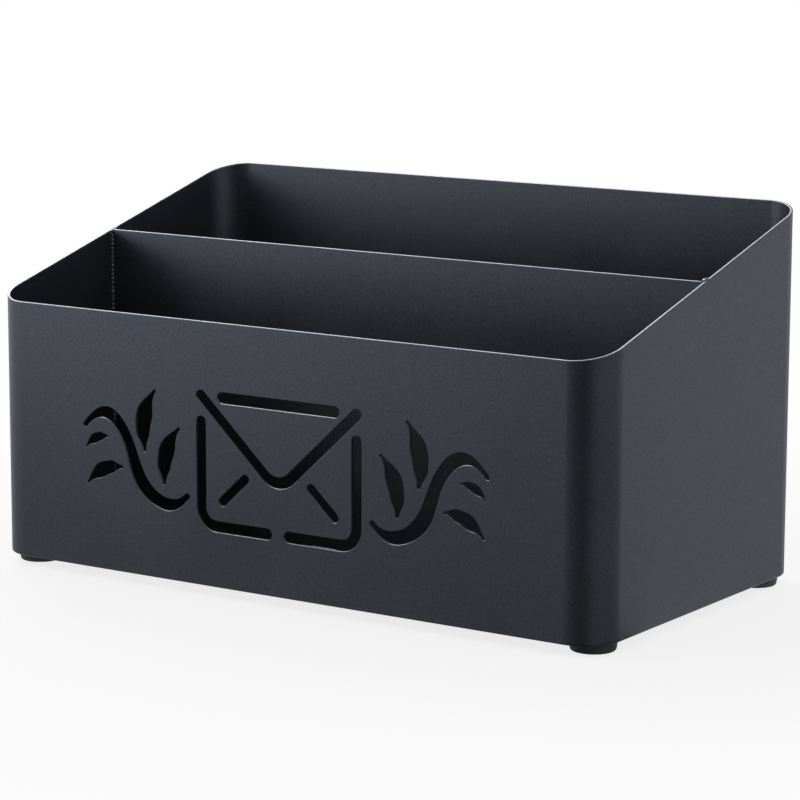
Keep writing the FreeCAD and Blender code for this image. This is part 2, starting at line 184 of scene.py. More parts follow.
def smooth_line(points):
    """Points and headings along a cubic spline through the points, and each one's place among them."""
    steps = np.linalg.norm(np.diff(points, axis=0), axis=1)
    knots = np.concatenate([[0], np.cumsum(steps)])
    count = len(points)
    system, target = np.zeros((count, count)), np.zeros((count, 2))
    slopes = np.diff(points, axis=0) / steps[:, None]
    for k in range(1, count - 1):
        system[k, k - 1:k + 2] = steps[k - 1], 2 * (steps[k - 1] + steps[k]), steps[k]
        target[k] = 6 * (slopes[k] - slopes[k - 1])
    # At each end the line follows the cubic through the four points there.
    first_end = (0, 1, slice(0, 4), steps[0], slopes[0], 1)
    last_end = (-1, -2, slice(-4, None), steps[-1], slopes[-1], -1)
    for end, near, four, step, slope, sign in (first_end, last_end):
        cubics = [np.polyfit(knots[four], points[four, axis], 3) for axis in (0, 1)]
        tangent = [np.polyval(np.polyder(cubic), knots[end]) for cubic in cubics]
        system[end, end], system[end, near] = 2 * step, step
        target[end] = 6 * sign * (slope - tangent)
    bends = np.linalg.solve(system, target)
    where = np.linspace(0, knots[-1], RIBBON_STEPS + 1)
    piece = np.clip(np.searchsorted(knots, where, side="right") - 1, 0, count - 2)
    step = steps[piece][:, None]
    after = (where[:, None] - knots[piece][:, None]) / step
    before = 1 - after
    curve = before * points[piece] + after * points[piece + 1] + (
        (before ** 3 - before) * bends[piece] + (after ** 3 - after) * bends[piece + 1]) * step ** 2 / 6
    headings = slopes[piece] + (
        (3 * after ** 2 - 1) * bends[piece + 1] - (3 * before ** 2 - 1) * bends[piece]) * step / 6
    return curve, unit(headings), piece, after[:, 0]


def ribbon_stroke(points, strokes):
    """A stroke of changing width along a smooth line."""
    curve, headings, piece, part = smooth_line(np.array(points))
    strokes = np.array(strokes)
    weight = part * part * (3 - 2 * part)
    halves = (strokes[piece] * (1 - weight) + strokes[piece + 1] * weight) / 2
    return stroke_outline(curve, headings, halves)


def envelope_holes():
    """The back of an envelope: its flap and top edge, and the right half of the rest."""
    wide, high = ENVELOPE_WIDTH / 2, ENVELOPE_HEIGHT / 2
    step = ENVELOPE_BRIDGE + ENVELOPE_STROKE
    side = straight_stroke(
        [(wide, high - step), (wide, -high), (step / 2, -high)], ENVELOPE_STROKE, ENVELOPE_CORNER)
    fold_end = np.array((wide - step, step - high))
    fold_way = unit(np.array((wide, -FLAP_DROP)))
    fold = straight_stroke([fold_end, fold_end - fold_way * FOLD_LENGTH], FOLD_STROKE)
    top = straight_stroke([(step - wide, high), (wide - step, high)], ENVELOPE_STROKE)
    flap = straight_stroke(
        [(-wide, high), (0, high - FLAP_DROP), (wide, high)], ENVELOPE_STROKE, FLAP_CORNER)
    return [side, fold], [top, flap]


def sprig_holes():
    """A curved stem and its leaves, to the right of the envelope."""
    scale = np.array((SPRIG_REACH, SPRIG_RISE))
    root = np.array((SPRIG_ROOT, 0.0))
    holes = [ribbon_stroke(
        [root + scale * (along, up) for along, up, share in STEM],
        [share * STEM_STROKE for along, up, share in STEM])]
    for along, up, heading, size, bow in LEAVES:
        angle = radians(heading)
        way = np.array((cos(angle), sin(angle)))
        length = LEAF_LENGTH * size
        start = root + scale * (along, up)
        holes.append(ribbon_stroke(
            [start + way * length * run + left_of(way) * length * bow * out
             for run, out, share in LEAF_FORM],
            [LEAF_STROKE * size * share for run, out, share in LEAF_FORM]))
    return holes


def stencil_holes():
    """Every hole of the ornament, clockwise, in the front wall's own drawing."""
    paired, single = envelope_holes()
    paired += sprig_holes()
    mirrored = [(hole * (-1, 1))[::-1] for hole in paired]
    return [tidy_loop(hole) + STENCIL_CENTRE for hole in paired + mirrored + single]


def tidy_loop(points, least=0.02 * MM):
    """A loop without its doubled points."""
    gaps = np.linalg.norm(points - np.roll(points, 1, axis=0), axis=1)
    return points[gaps > least]


def way_out(points):
    """At each point of a loop the way out of the metal, and how much further a mitre goes."""
    ahead = unit(np.roll(points, -1, axis=0) - points)
    out = -left_of(ahead)
    behind = np.roll(out, 1, axis=0)
    mitre = unit(out + behind)
    return mitre, 1 / np.maximum((mitre * out).sum(axis=1), 1 / MITRE_LIMIT)


def rounded_edge(points, outer_round, inner_round):
    """The rounded edge of a sheet along a loop: rows of (along, up, in) places and their normals."""
    out, reach = way_out(points)
    places, normals = [], []
    quarter = np.linspace(0, pi / 2, ROUND_STEPS + 1)
    sides = ((quarter, outer_round, 0, 1), (quarter[::-1], inner_round, GAUGE, -1))
    for angles, rounding, start, sign in sides:
        for angle in angles:
            sunk = rounding * (1 - sin(angle)) * reach
            depth = np.full(len(points), start) + sign * rounding * (1 - cos(angle))
            places.append(np.column_stack([points - out * sunk[:, None], depth]))
            facing = np.full((len(points), 1), -sign * cos(angle))
            normals.append(np.concatenate([out * sin(angle), facing], axis=1))
    return np.stack(places, axis=1), np.stack(normals, axis=1)


def steps_round(starts):
    """Quads between neighbouring rows of a closed band of points, from where the rows start."""
    pairs = zip(starts, [*starts[1:], starts[0]])
    return [(a + k, a + k + 1, b + k + 1, b + k) for a, b in pairs for k in range(starts.step - 1)]


def cut_sheet(name, loops, place, fill):
    """A piece cut from sheet: a rounded edge along every loop, and the two faces between them.

    The first loop is the outline, the others are holes. Each has its points and the rounding of its
    outer and inner edge, one for all or one each. The fill gives more points, and the outer faces.
    """
    places, normals, faces, outer, inner = [], [], [], [], []
    first = 0
    width = 2 * (ROUND_STEPS + 1)
    for points, outer_round, inner_round in loops:
        rows, facing = rounded_edge(points, outer_round, inner_round)
        places.append(rows.reshape(-1, 3))
        normals.append(facing.reshape(-1, 3))
        starts = range(first, first + len(points) * width, width)
        faces += steps_round(starts)
        outer += starts
        inner += [start + width - 1 for start in starts]
        first = starts.stop
    more, cover = fill(np.concatenate(places)[outer][:, :2])
    for depth, facing, ids in ((0, -1, outer), (GAUGE, 1, inner)):
        places.append(np.column_stack([more, np.full(len(more), depth)]))
        normals.append(np.tile((0.0, 0.0, facing), (len(more), 1)))
        ids += range(first, first + len(more))
        first += len(more)
    faces += [tuple(outer[k] for k in face) for face in cover]
    faces += [tuple(inner[k] for k in reversed(face)) for face in cover]
    places, normals = place(np.concatenate(places), np.concatenate(normals))
    return smooth_mesh(name, places, faces, normals)


def smooth_mesh(name, places, faces, normals=None):
    """A smooth mesh with the given normals, or else with a crease at each sharp turn."""
    mesh = bpy.data.meshes.new(name)
    mesh.from_pydata(np.asarray(places).tolist(), [], [tuple(int(k) for k in face) for face in faces])
    mesh.validate()
    mesh.shade_smooth()
    if normals is not None:
        mesh.normals_split_custom_set_from_vertices(unit(np.asarray(normals)).tolist())
    else:
        mesh.set_sharp_from_angle(angle=SHARP_TURN)
    mesh.update()
    return mesh


def bend_runs():
    """The strip's runs from the seam round by the left: length and turn of each."""
    bend = (BEND_RADIUS * pi / 2, pi / 2)
    half_back = (WIDTH / 2 - BEND_RADIUS, 0.0)
    side = (DEPTH - 2 * BEND_RADIUS, 0.0)
    front = (WIDTH - 2 * BEND_RADIUS, 0.0)
    return [half_back, bend, side, bend, front, bend, side, bend, half_back]


def along_strip(distances):
    """Plan positions of the outer face at distances along the strip, and its headings there."""
    positions = np.zeros((len(distances), 2))
    headings = np.zeros((len(distances), 2))
    corner = np.array((0.0, DEPTH / 2))
    way = np.array((-1.0, 0.0))
    start = 0.0
    runs = bend_runs()
    for index, (length, turn) in enumerate(runs):
        last = index == len(runs) - 1
        here = (distances >= start) & ((distances < start + length) | last)
        run = distances[here] - start
        if turn:
            angle = run[:, None] / BEND_RADIUS
            heading = way * np.cos(angle) + left_of(way) * np.sin(angle)
            centre = corner + left_of(way) * BEND_RADIUS
            positions[here] = centre - left_of(heading) * BEND_RADIUS
            headings[here] = heading
            corner = centre + way * BEND_RADIUS
            way = left_of(way)
        else:
            positions[here] = corner + way * run[:, None]
            headings[here] = way
            corner = corner + way * length
        start += length
    return positions, headings


def place_strip(places, normals):
    """Bend the flat strip round into the four walls."""
    positions, headings = along_strip(places[:, 0])
    inward = left_of(headings)
    plan = positions + inward * places[:, 2:]
    facing = headings * normals[:, :1] + inward * normals[:, 2:]
    return np.column_stack([plan, places[:, 1]]), np.column_stack([facing, normals[:, 1]])


def strip_stations():
    """Distances along the strip where it has a fold line, and the two ends of the front wall."""
    stations = [SEAM_WIDTH / 2, SEAM_WIDTH / 2 + SHOULDER]
    start = 0.0
    front = []
    runs = bend_runs()
    for index, (length, turn) in enumerate(runs):
        if turn:
            stations += list(start + length * np.linspace(0, 1, BEND_STEPS + 1))
        if index == len(runs) // 2:
            front = [start, start + length]
            stations += list(np.linspace(*front, round(length / (2 * STENCIL_MESH)) + 1)[1:-1])
        start += length
    stations += [start - SEAM_WIDTH / 2 - SHOULDER, start - SEAM_WIDTH / 2]
    return np.array(stations), front


# How far the seam's sharp edges stay off the strip's lower edge and rim, in roundings of each.
SEAM_ENDS = (1.5, 2.0)


def make_strip():
    """The four walls, as one strip that is cut flat, rounded at its edges and bent."""
    stations, (front_start, front_end) = strip_stations()
    rim = FRONT_TOP + RIM_SLOPE * (along_strip(stations)[0][:, 1] + DEPTH / 2)
    count = len(stations)
    seam_heights = np.array((LIFT + SEAM_ENDS[0] * LOWER_ROUND, BACK_TOP - SEAM_ENDS[1] * RIM_ROUND))
    outline = np.concatenate([
        np.column_stack([stations, np.full(count, LIFT)]),
        np.column_stack([np.full(2, stations[-1]), seam_heights]),
        np.column_stack([stations, rim])[::-1],
        np.column_stack([np.full(2, stations[0]), seam_heights[::-1]]),
    ])
    outer_round = np.full(2 * count + 4, RIM_ROUND)
    inner_round = outer_round.copy()
    outer_round[:count] = LOWER_ROUND
    inner_round[:count] = LOWER_INNER_ROUND
    for seam_edge in (slice(count, count + 2), slice(2 * count + 2, None)):
        outer_round[seam_edge] = inner_round[seam_edge] = SEAM_ROUND
    shift = np.array(((front_start + front_end) / 2, 0.0))
    holes = [hole + shift for hole in stencil_holes()]
    first, last = (int(np.argmin(np.abs(stations - end))) for end in (front_start, front_end))

    def fill(points):
        patch = list(range(first, last + 1)) + list(range(2 * count + 1 - last, 2 * count + 2 - first))
        cover = [
            (k, k + 1, 2 * count - k, 2 * count + 1 - k)
            for k in range(1, count - 2) if not first <= k < last
        ]
        cover.append((0, 1, *range(2 * count, 2 * count + 4)))
        cover.append(tuple(range(count - 2, count + 4)))
        sets, start = [], 2 * count + 4
        for hole in holes:
            sets.append(list(range(start, start + len(hole))))
            start += len(hole)
        more = patch_points(points, patch, sets)
        cover += cover_patch(np.concatenate([points, more]), patch, sets, range(start, start + len(more)))
        return more, cover

    loops = [(outline, outer_round, inner_round)]
    loops += [(hole, HOLE_ROUND, HOLE_ROUND) for hole in holes]
    return cut_sheet("bent_wall_strip", loops, place_strip, fill)


def patch_points(points, patch, sets):
    """Points spread over the front wall in staggered rows, clear of its edges and holes."""
    low, high = points[patch].min(axis=0), points[patch].max(axis=0)
    counts = np.round((high - low) / STENCIL_MESH).astype(int)
    grid = np.array([
        (low[0] + (high[0] - low[0]) * (i + 0.5 * (j % 2)) / counts[0],
         low[1] + (high[1] - low[1]) * j / counts[1])
        for j in range(1, counts[1]) for i in range(1, counts[0])
    ])
    known = points[patch + [k for hole in sets for k in hole]]
    gaps = np.linalg.norm(grid[:, None] - known[None], axis=2).min(axis=1)
    return grid[gaps > STENCIL_MESH / 3]


def cover_patch(points, patch, sets, free):
    """Triangles over the front wall's flat part, without the holes."""
    ids = patch + [k for hole in sets for k in hole] + list(free)
    local = {k: n for n, k in enumerate(ids)}
    rings = [[local[k] for k in patch]] + [[local[k] for k in reversed(hole)] for hole in sets]
    corners, _, triangles, corner_sources, _, triangle_sources = delaunay_2d_cdt(
        [Vector(points[k]) for k in ids], [], rings, 0, MERGE_DISTANCE)
    if len(corners) != len(ids):
        raise RuntimeError("the front wall's mesh has crossing lines")
    home = [ids[sources[0]] for sources in corner_sources]
    return [
        tuple(home[k] for k in triangle)
        for triangle, sources in zip(triangles, triangle_sources) if sources == [0]
    ]


def flat_place(origin, along, up, inward):
    """A placement for a sheet that stays flat."""
    axes = np.array([along, up, inward])
    return lambda places, normals: (places @ axes + origin, normals @ axes)


def one_face(points):
    """The fill of a plain plate: one face inside its outline."""
    return np.zeros((0, 2)), [tuple(range(len(points)))]


def make_divider():
    """The upright plate between the two slots."""
    wide = DIVIDER_HIGH[0] - DIVIDER_LOW[0]
    high = DIVIDER_HIGH[2] - DIVIDER_LOW[2]
    right, top = wide - SHOULDER, high - SHOULDER
    outline = np.array([
        (0, 0), (SHOULDER, 0), (right, 0), (wide, 0), (wide, SHOULDER), (wide, top),
        (wide, high), (right, high), (SHOULDER, high), (0, high), (0, top), (0, SHOULDER)])
    rounding = np.where(outline[:, 1] > high / 2, RIM_ROUND, DIVIDER_FOOT_ROUND)
    place = flat_place(DIVIDER_LOW, X, Z, Y)
    return cut_sheet("letter_divider", [(outline, rounding, rounding)], place, one_face)


def make_bottom_plate():
    """The plate that closes the walls below, with corners that follow their bends."""
    reach = PLATE_HIGH - PLATE_LOW
    radius = BEND_RADIUS - (WIDTH - reach[0]) / 2
    outline = []
    quarter = np.linspace(0, pi / 2, BEND_STEPS + 1)
    for turn, corner in ((2, (0, 0)), (3, (1, 0)), (0, (1, 1)), (1, (0, 1))):
        centre = radius + np.array(corner) * (reach[:2] - 2 * radius)
        angles = quarter + turn * pi / 2
        outline.append(centre + radius * np.column_stack([np.cos(angles), np.sin(angles)]))
    outline = np.concatenate(outline)
    place = flat_place(np.array((PLATE_LOW[0], PLATE_LOW[1], PLATE_HIGH[2])), X, Y, -Z)
    return cut_sheet("bottom_plate", [(outline, PLATE_ROUND, PLATE_ROUND)], place, one_face)


def quarter_rows(rounding, count):
    """Distances from a sheet's end at which its rounded edge has rows of points."""
    return rounding * (1 - np.cos(np.linspace(0, pi / 2, count)))


def eased_off(distance, rounding):
    """How far a rounded edge has drawn back at a distance from the sheet's end."""
    rest = np.clip(1 - distance / rounding, 0, 1)
    return rounding * (1 - np.sqrt(1 - rest ** 2))


def wavering(phases, middle, wave, jitter):
    """Values along a weld: a middle value with a wave and a jitter."""
    return middle + wave * np.sin(phases) + jitter * rng.standard_normal(len(phases))


# Rows of the ground seam at its round foot, between the clearances, and at its round top.
SEAM_ROWS = (9, 140, 7)
SEAM_CLEARANCES = (2 * MM, 1 * MM)

# The seam's sideways swing and its dip, as middle, wave and jitter in millimetres, and the waves'
# turn over its height in radians.
SEAM_SWING, SEAM_SWING_TURN = (0.0, 0.06, 0.02), 19.0
SEAM_DIP, SEAM_DIP_TURN = (0.05, 0.03, 0.015), 150.0
SEAM_DIP_LIMITS = (0.01, 0.12)

# Places across the seam, as shares of half its width, with the share of the dip there.
SEAM_FACE = ((1, 0.0), (0.6, 0.7), (0, 1.0), (-0.6, 0.7), (-1, 0.0))


def make_ground_seam():
    """The butt weld at the middle of the back, flush inside and faintly sunk outside."""
    low, high = corners_of("band_seam_weld")
    heights = np.concatenate([
        low[2] + quarter_rows(LOWER_ROUND, SEAM_ROWS[0]),
        np.linspace(low[2] + SEAM_CLEARANCES[0], high[2] - SEAM_CLEARANCES[1], SEAM_ROWS[1]),
        high[2] - quarter_rows(RIM_ROUND, SEAM_ROWS[2])[::-1],
    ])
    share = (heights - low[2]) / (high[2] - low[2])
    swing = wavering(share * SEAM_SWING_TURN, *SEAM_SWING) * MM
    sunk = np.clip(wavering(share * SEAM_DIP_TURN, *SEAM_DIP), *SEAM_DIP_LIMITS) * MM
    top = eased_off(high[2] - heights, RIM_ROUND)
    outer = high[1] - np.maximum(eased_off(heights - low[2], LOWER_ROUND), top)
    inner = low[1] + np.maximum(eased_off(heights - low[2], LOWER_INNER_ROUND), top)
    half = (high[0] - low[0]) / 2
    rows = []
    for z, aside, dip, back, front in zip(heights, swing, sunk, outer, inner):
        for across, depth in SEAM_FACE:
            rows.append((across * half + aside * depth, back - dip * depth, z))
        rows += [(-half, front, z), (half, front, z)]
    return smooth_mesh("ground_seam", rows, open_tube(len(heights), len(SEAM_FACE) + 2))


def open_tube(rows, width):
    """Faces of a tube through rows of points, with both ends closed."""
    starts = range(0, rows * width, width)
    around = [(k, (k + 1) % width) for k in range(width)]
    faces = [(a + k, b + k, b + n, a + n) for a, b in zip(starts, starts[1:]) for k, n in around]
    faces.append(tuple(range(width)))
    faces.append(tuple(reversed(range((rows - 1) * width, rows * width))))
    return faces


# A weld bead's points across, rows to each pool and fewest rows, and how deep it sits in its corner.
BEAD_FAN, BEAD_POOL_ROWS, BEAD_LEAST_ROWS = 9, 6, 8
BEAD_SINK = 0.25 * MM

# Along a bead: pools as shares of the ripple, a drift of its size, and its least size at the ends.
BEAD_POOLS = (0.4, 1.0)
BEAD_DRIFT = (0.0, 0.05, 0.015)
BEAD_DRIFT_TURN = 1.7
BEAD_DRIFT_STARTS = (0, 6)
BEAD_END = 0.1

# A bead's face lies between a round and a flat one, with these shares.
BEAD_ROUND, BEAD_FLAT = 0.55, 0.45


def bead(start, along, arms, length, leg, pitch, ripple):
    """A weld bead in an inner corner, laid in overlapping pools: its points and faces."""
    stations = max(int(length / pitch * BEAD_POOL_ROWS), BEAD_LEAST_ROWS)
    run = np.linspace(0, 1, stations + 1)
    pool = (run * length / pitch).astype(int)
    arches = ripple * np.abs(np.sin(pi * run * length / pitch))
    pools = arches * rng.uniform(*BEAD_POOLS, pool[-1] + 1)[pool]
    phases = run * length / pitch * BEAD_DRIFT_TURN + rng.uniform(*BEAD_DRIFT_STARTS)
    drift = wavering(phases, *BEAD_DRIFT)
    taper = np.minimum(run, 1 - run) * length / leg
    taper = np.sqrt(np.clip(1 - (1 - np.clip(taper, 0, 1)) ** 2, BEAD_END, 1))
    sizes = leg * np.minimum((1 - ripple + pools + drift) * taper, 1.0)
    over = BEAD_SINK / leg
    angles = np.linspace(-over, pi / 2 + over, BEAD_FAN)
    flat = 1 / np.maximum(np.abs(np.cos(angles)) + np.abs(np.sin(angles)), 1)
    swell = BEAD_ROUND + BEAD_FLAT * flat
    rows = []
    for share, size in zip(run, sizes):
        place = start + along * length * share
        rows.append(place - (arms[0] + arms[1]) * BEAD_SINK)
        for angle, full in zip(angles, swell):
            rows.append(place + (arms[0] * cos(angle) + arms[1] * sin(angle)) * size * full)
    return rows, open_tube(stations + 1, BEAD_FAN + 1)


def join_parts(name, parts):
    """One mesh from several sets of points and faces."""
    places, faces = [], []
    for rows, cover in parts:
        faces += [tuple(k + len(places) for k in face) for face in cover]
        places += list(rows)
    return smooth_mesh(name, places, faces)


# Beads at the plates' feet and up the divider's ends: leg, and the pools' pitch and ripple share.
BASE_BEAD_LENGTH = 13 * MM
BASE_BEAD_LEG = 1.6 * MM
BASE_BEAD_POOLS = (1.7 * MM, 0.14)
DIVIDER_BEAD_LEG = 0.9 * MM
DIVIDER_BEAD_POOLS = (1.8 * MM, 0.32)


def base_row(name, starts, along, arms, leg):
    """A broken row of beads along the foot of a plate."""
    return join_parts(name, [
        bead(np.array(start), along, arms, BASE_BEAD_LENGTH, leg, *BASE_BEAD_POOLS) for start in starts])


TURNED_STEPS = 72

# Waves round an uneven rim: how many, how its place turns them, and their share.
RIM_WAVES = ((3, 90, 1.0), (7, 70, 0.6))


def turned(name, profile, centre, unevenness=0.0):
    """A piece turned about an upright axis, from its (radius, height) profile."""
    profile = np.array(profile)
    angles = np.linspace(0, 2 * pi, TURNED_STEPS, endpoint=False)
    waves = [
        share * np.sin(count * angles + place * turn)
        for place, (count, turn, share) in zip(centre, RIM_WAVES)
    ]
    swell = 1 + unevenness * sum(waves)
    ring = profile[1:-1]
    places = [(0, 0, profile[0][1]), (0, 0, profile[-1][1])]
    for angle, wide in zip(angles, swell):
        places += [(r * wide * cos(angle), r * wide * sin(angle), z) for r, z in ring]
    width = len(ring)
    faces = []
    for k in range(TURNED_STEPS):
        here, there = 2 + k * width, 2 + (k + 1) % TURNED_STEPS * width
        faces.append((0, there, here))
        faces += [(here + n, there + n, there + n + 1, here + n + 1) for n in range(width - 1)]
        faces.append((here + width - 1, there + width - 1, 1))
    return smooth_mesh(name, np.array(places) + (centre[0], centre[1], 0), faces)


FOOT_TREAD = 8.5 * MM
FOOT_TOP = 9.0 * MM
FOOT_ROUND = 1.0 * MM
FOOT_ROUND_TURN, FOOT_ROUND_ROWS = radians(84), 8

# In millimetres, the dish in a foot's tread as (from the axis, up), and the side above its round
# edge as (in from the full radius, down from the top).
FOOT_DISH = ((0, 0.22), (2.2, 0.2), (4.2, 0.12), (5.2, 0.03), (5.7, 0))
FOOT_SIDE = ((0.3, 1.7), (0.12, 0.5), (0.06, 0.2), (0.25, 0))


def make_foot(name, node):
    """A moulded rubber foot: a shallow dish in the tread, a round edge and a slight draft."""
    low, high = corners_of(node)
    dish = [(out * MM, up * MM) for out, up in FOOT_DISH]
    edge = [
        (FOOT_TREAD - FOOT_ROUND + FOOT_ROUND * sin(angle), FOOT_ROUND - FOOT_ROUND * cos(angle))
        for angle in np.linspace(0, FOOT_ROUND_TURN, FOOT_ROUND_ROWS)
    ]
    side = [(FOOT_TOP - inward * MM, high[2] - down * MM) for inward, down in FOOT_SIDE]
    return turned(name, dish + edge + side + [(0, high[2])], (low + high) / 2)


DISC_SHARE = 0.985
DISC_UNEVENNESS = 0.006
DISC_BEVEL = 0.1 * MM


def make_sticky_disc(name, node):
    """The thin film that holds a foot, its rim bevelled and a little uneven."""
    low, high = corners_of(node)
    radius = (high[0] - low[0]) / 2 * DISC_SHARE
    profile = [
        (0, low[2]), (radius - DISC_BEVEL, low[2]), (radius, (low[2] + high[2]) / 2),
        (radius - DISC_BEVEL, high[2]), (0, high[2])]
    return turned(name, profile, (low + high) / 2, DISC_UNEVENNESS)


def add_object(name, data):
    """A new object in the scene."""
    item = bpy.data.objects.new(name, data)
    bpy.context.scene.collection.objects.link(item)
    return item


def add_piece(mesh, material, slot, *nodes):
    """Put a finished mesh in the scene, in place of the CAD nodes that it stands for."""
    piece = add_object(mesh.name, mesh)
    mesh.materials.append(material)
    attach(piece, "root")
    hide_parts(*nodes)


BALL_RINGS, BALL_SIDES = 11, 18
FUSE_GRAIN = 0.13 * MM
RELAX_ROUNDS, RELAX_SHARE = 6, 0.5


def fused(name, balls):
    """A lump of weld metal: stretched balls joined by remeshing, then smoothed."""
    parts = []
    for centre, radii in balls:
        rows = []
        for level in np.linspace(-1, 1, BALL_RINGS + 2)[1:-1]:
            across = sqrt(1 - level ** 2)
            for angle in np.linspace(0, 2 * pi, BALL_SIDES, endpoint=False):
                way = np.array((across * cos(angle), across * sin(angle), level))
                rows.append(centre + way * radii)
        parts.append((rows, open_tube(BALL_RINGS, BALL_SIDES)))
    lump = add_object(name, join_parts(name + "_rough", parts))
    remesh = lump.modifiers.new("fuse", "REMESH")
    remesh.mode = "VOXEL"
    remesh.voxel_size = FUSE_GRAIN
    relax = lump.modifiers.new("relax", "SMOOTH")
    relax.iterations = RELAX_ROUNDS
    relax.factor = RELAX_SHARE
    graph = bpy.context.evaluated_depsgraph_get()
    mesh = bpy.data.meshes.new_from_object(lump.evaluated_get(graph))
    mesh.name = name
    mesh.shade_smooth()
    bpy.data.objects.remove(lump)
    return mesh


# Helpers for node trees.


def feed(tree, sockets, values):
    """Give sockets their values, or link them to the sockets that feed them."""
    for key, value in values.items():
        if isinstance(value, bpy.types.NodeSocket):
            tree.links.new(value, sockets[key])
        else:
            sockets[key].default_value = value


def put(tree, kind, inputs=None, **settings):
    """Add a node with its settings and inputs."""
    item = tree.nodes.new("ShaderNode" + kind)
    for key, value in settings.items():
        setattr(item, key, value)
    feed(tree, item.inputs, inputs or {})
    return item


def calc(tree, operation, *values):
    return put(tree, "Math", dict(enumerate(values)), operation=operation).outputs[0]


def between(tree, value, low, high, to_low=0.0, to_high=1.0):
    """A value that eases from one level to another while the input goes from low to high."""
    levels = {"From Min": low, "From Max": high, "To Min": to_low, "To Max": to_high}
    item = put(tree, "MapRange", {"Value": value, **levels}, interpolation_type="SMOOTHSTEP")
    return item.outputs["Result"]


def mix_colours(tree, share, first, second, blend="MIX"):
    inputs = {0: share, 6: first, 7: second}
    return put(tree, "Mix", inputs, data_type="RGBA", blend_type=blend).outputs[2]


def noise(tree, where, scale, detail=2.0, roughness=0.5):
    inputs = {"Vector": where, "Scale": scale, "Detail": detail, "Roughness": roughness}
    return put(tree, "TexNoise", inputs).outputs["Fac"]


# Most of a noise lies within the span, and much of it within the middle.
NOISE_SPAN = (0.3, 0.7)
NOISE_MIDDLE = (0.35, 0.65)


def new_group(name, inputs, outputs):
    """A shader node group with named sockets, and its ends."""
    tree = bpy.data.node_groups.new(name, "ShaderNodeTree")
    for way, sockets in (("INPUT", inputs), ("OUTPUT", outputs)):
        for label, kind in sockets.items():
            tree.interface.new_socket(label, in_out=way, socket_type="NodeSocket" + kind)
    return tree, tree.nodes.new("NodeGroupInput").outputs, tree.nodes.new("NodeGroupOutput").inputs


def use_group(tree, group, inputs):
    """Place a node group in a tree, and give its outputs."""
    return put(tree, "Group", inputs, node_tree=group).outputs


CLOUD_SCALE = 22.0
MOTTLE_SCALE_SHARE = 1.2
GRAIN_HEIGHT_SHARE = 0.45


def make_powder_grain():
    """A baked powder coat's skin: orange peel, finer grain, slow clouds and a fine mottle."""
    tree, given, made = new_group(
        "powder grain",
        {"Place": "Vector", "Peel Scale": "Float", "Grain Scale": "Float"},
        dict.fromkeys(("Height", "Clouds", "Grain", "Mottle"), "Float"))
    place = given["Place"]
    mottle_scale = calc(tree, "MULTIPLY", given["Peel Scale"], MOTTLE_SCALE_SHARE)
    peel = noise(tree, place, given["Peel Scale"], detail=1.0, roughness=0.4)
    grain = noise(tree, place, given["Grain Scale"], detail=2.0, roughness=0.6)
    clouds = noise(tree, place, CLOUD_SCALE, detail=3.0, roughness=0.55)
    mottle = noise(tree, place, mottle_scale, detail=3.0, roughness=0.6)
    height = calc(tree, "ADD", peel, calc(tree, "MULTIPLY", grain, GRAIN_HEIGHT_SHARE))
    feed(tree, made, {"Height": height, "Clouds": clouds, "Grain": grain, "Mottle": mottle})
    return tree


SPECK_LEAST = 0.4


def make_dust_specks():
    """A few small pale specks, each in its own random place and of its own size."""
    tree, given, made = new_group(
        "dust specks",
        {"Place": "Vector", "Scale": "Float", "Share": "Float", "Size": "Float"},
        {"Mask": "Float"})
    cells = put(tree, "TexVoronoi", {"Vector": given["Place"], "Scale": given["Scale"]})
    chance = put(tree, "SeparateColor", {"Color": cells.outputs["Color"]})
    chosen = calc(tree, "LESS_THAN", chance.outputs["Red"], given["Share"])
    growth = calc(tree, "ADD", chance.outputs["Green"], SPECK_LEAST)
    size = calc(tree, "MULTIPLY", given["Size"], growth)
    spot = calc(tree, "LESS_THAN", cells.outputs["Distance"], size)
    feed(tree, made, {"Mask": calc(tree, "MULTIPLY", spot, chosen)})
    return tree


# Light that the coat reflects: compass angle (0 towards +X), blueness, then the level at each height.
# Blue gains the blueness as a share, and red loses RED_SHARE of that.
# The near and far floor levels are the floor's own glow in reflections, a painted reflection; the near one
# is mostly darker, a painted shade of the object on the floor.
STUDIO_HEIGHTS = ("Near Floor", "Far Floor", "Horizon", "Above")
STUDIO_LEVELS = (
    (-180, 0.14, 0.5, 0.9, 1.6, 11.0),
    (-155, 0.16, 0.46, 1.0, 2.1, 6.5),
    (-140, 0.2, 0.34, 1.6, 4.2, 2.0),
    (-128, 0.2, 0.4, 2.2, 5.0, 1.6),
    (-116, 0.2, 0.44, 0.25, 0.15, 0.4),
    (-106, 0.2, 0.35, 0.2, 0.1, 0.5),
    (-92, 0.16, 0.2, 0.15, 0.2, 1.4),
    (-76, 0.14, 0.04, 0.04, 0.05, 2.0),
    (-54, 0.14, 0.04, 0.04, 0.05, 2.0),
    (-34, 0.12, 0.22, 0.28, 1.6, 3.0),
    (-10, 0.12, 0.15, 0.18, 2.6, 3.0),
    (20, 0.12, 0.25, 0.35, 1.6, 2.4),
    (44, 0.12, 0.38, 0.5, 1.0, 1.8),
    (57, 0.12, 0.72, 0.84, 0.8, 1.2),
    (75, 0.12, 0.66, 0.7, 0.8, 0.08),
    (100, 0.14, 0.6, 0.6, 0.3, 0.08),
    (118, 0.14, 0.6, 0.6, 0.2, 4.0),
    (134, 0.14, 0.6, 0.9, 0.2, 11.0),
    (155, 0.14, 0.6, 0.9, 1.0, 13.0),
)
RED_SHARE = 0.4


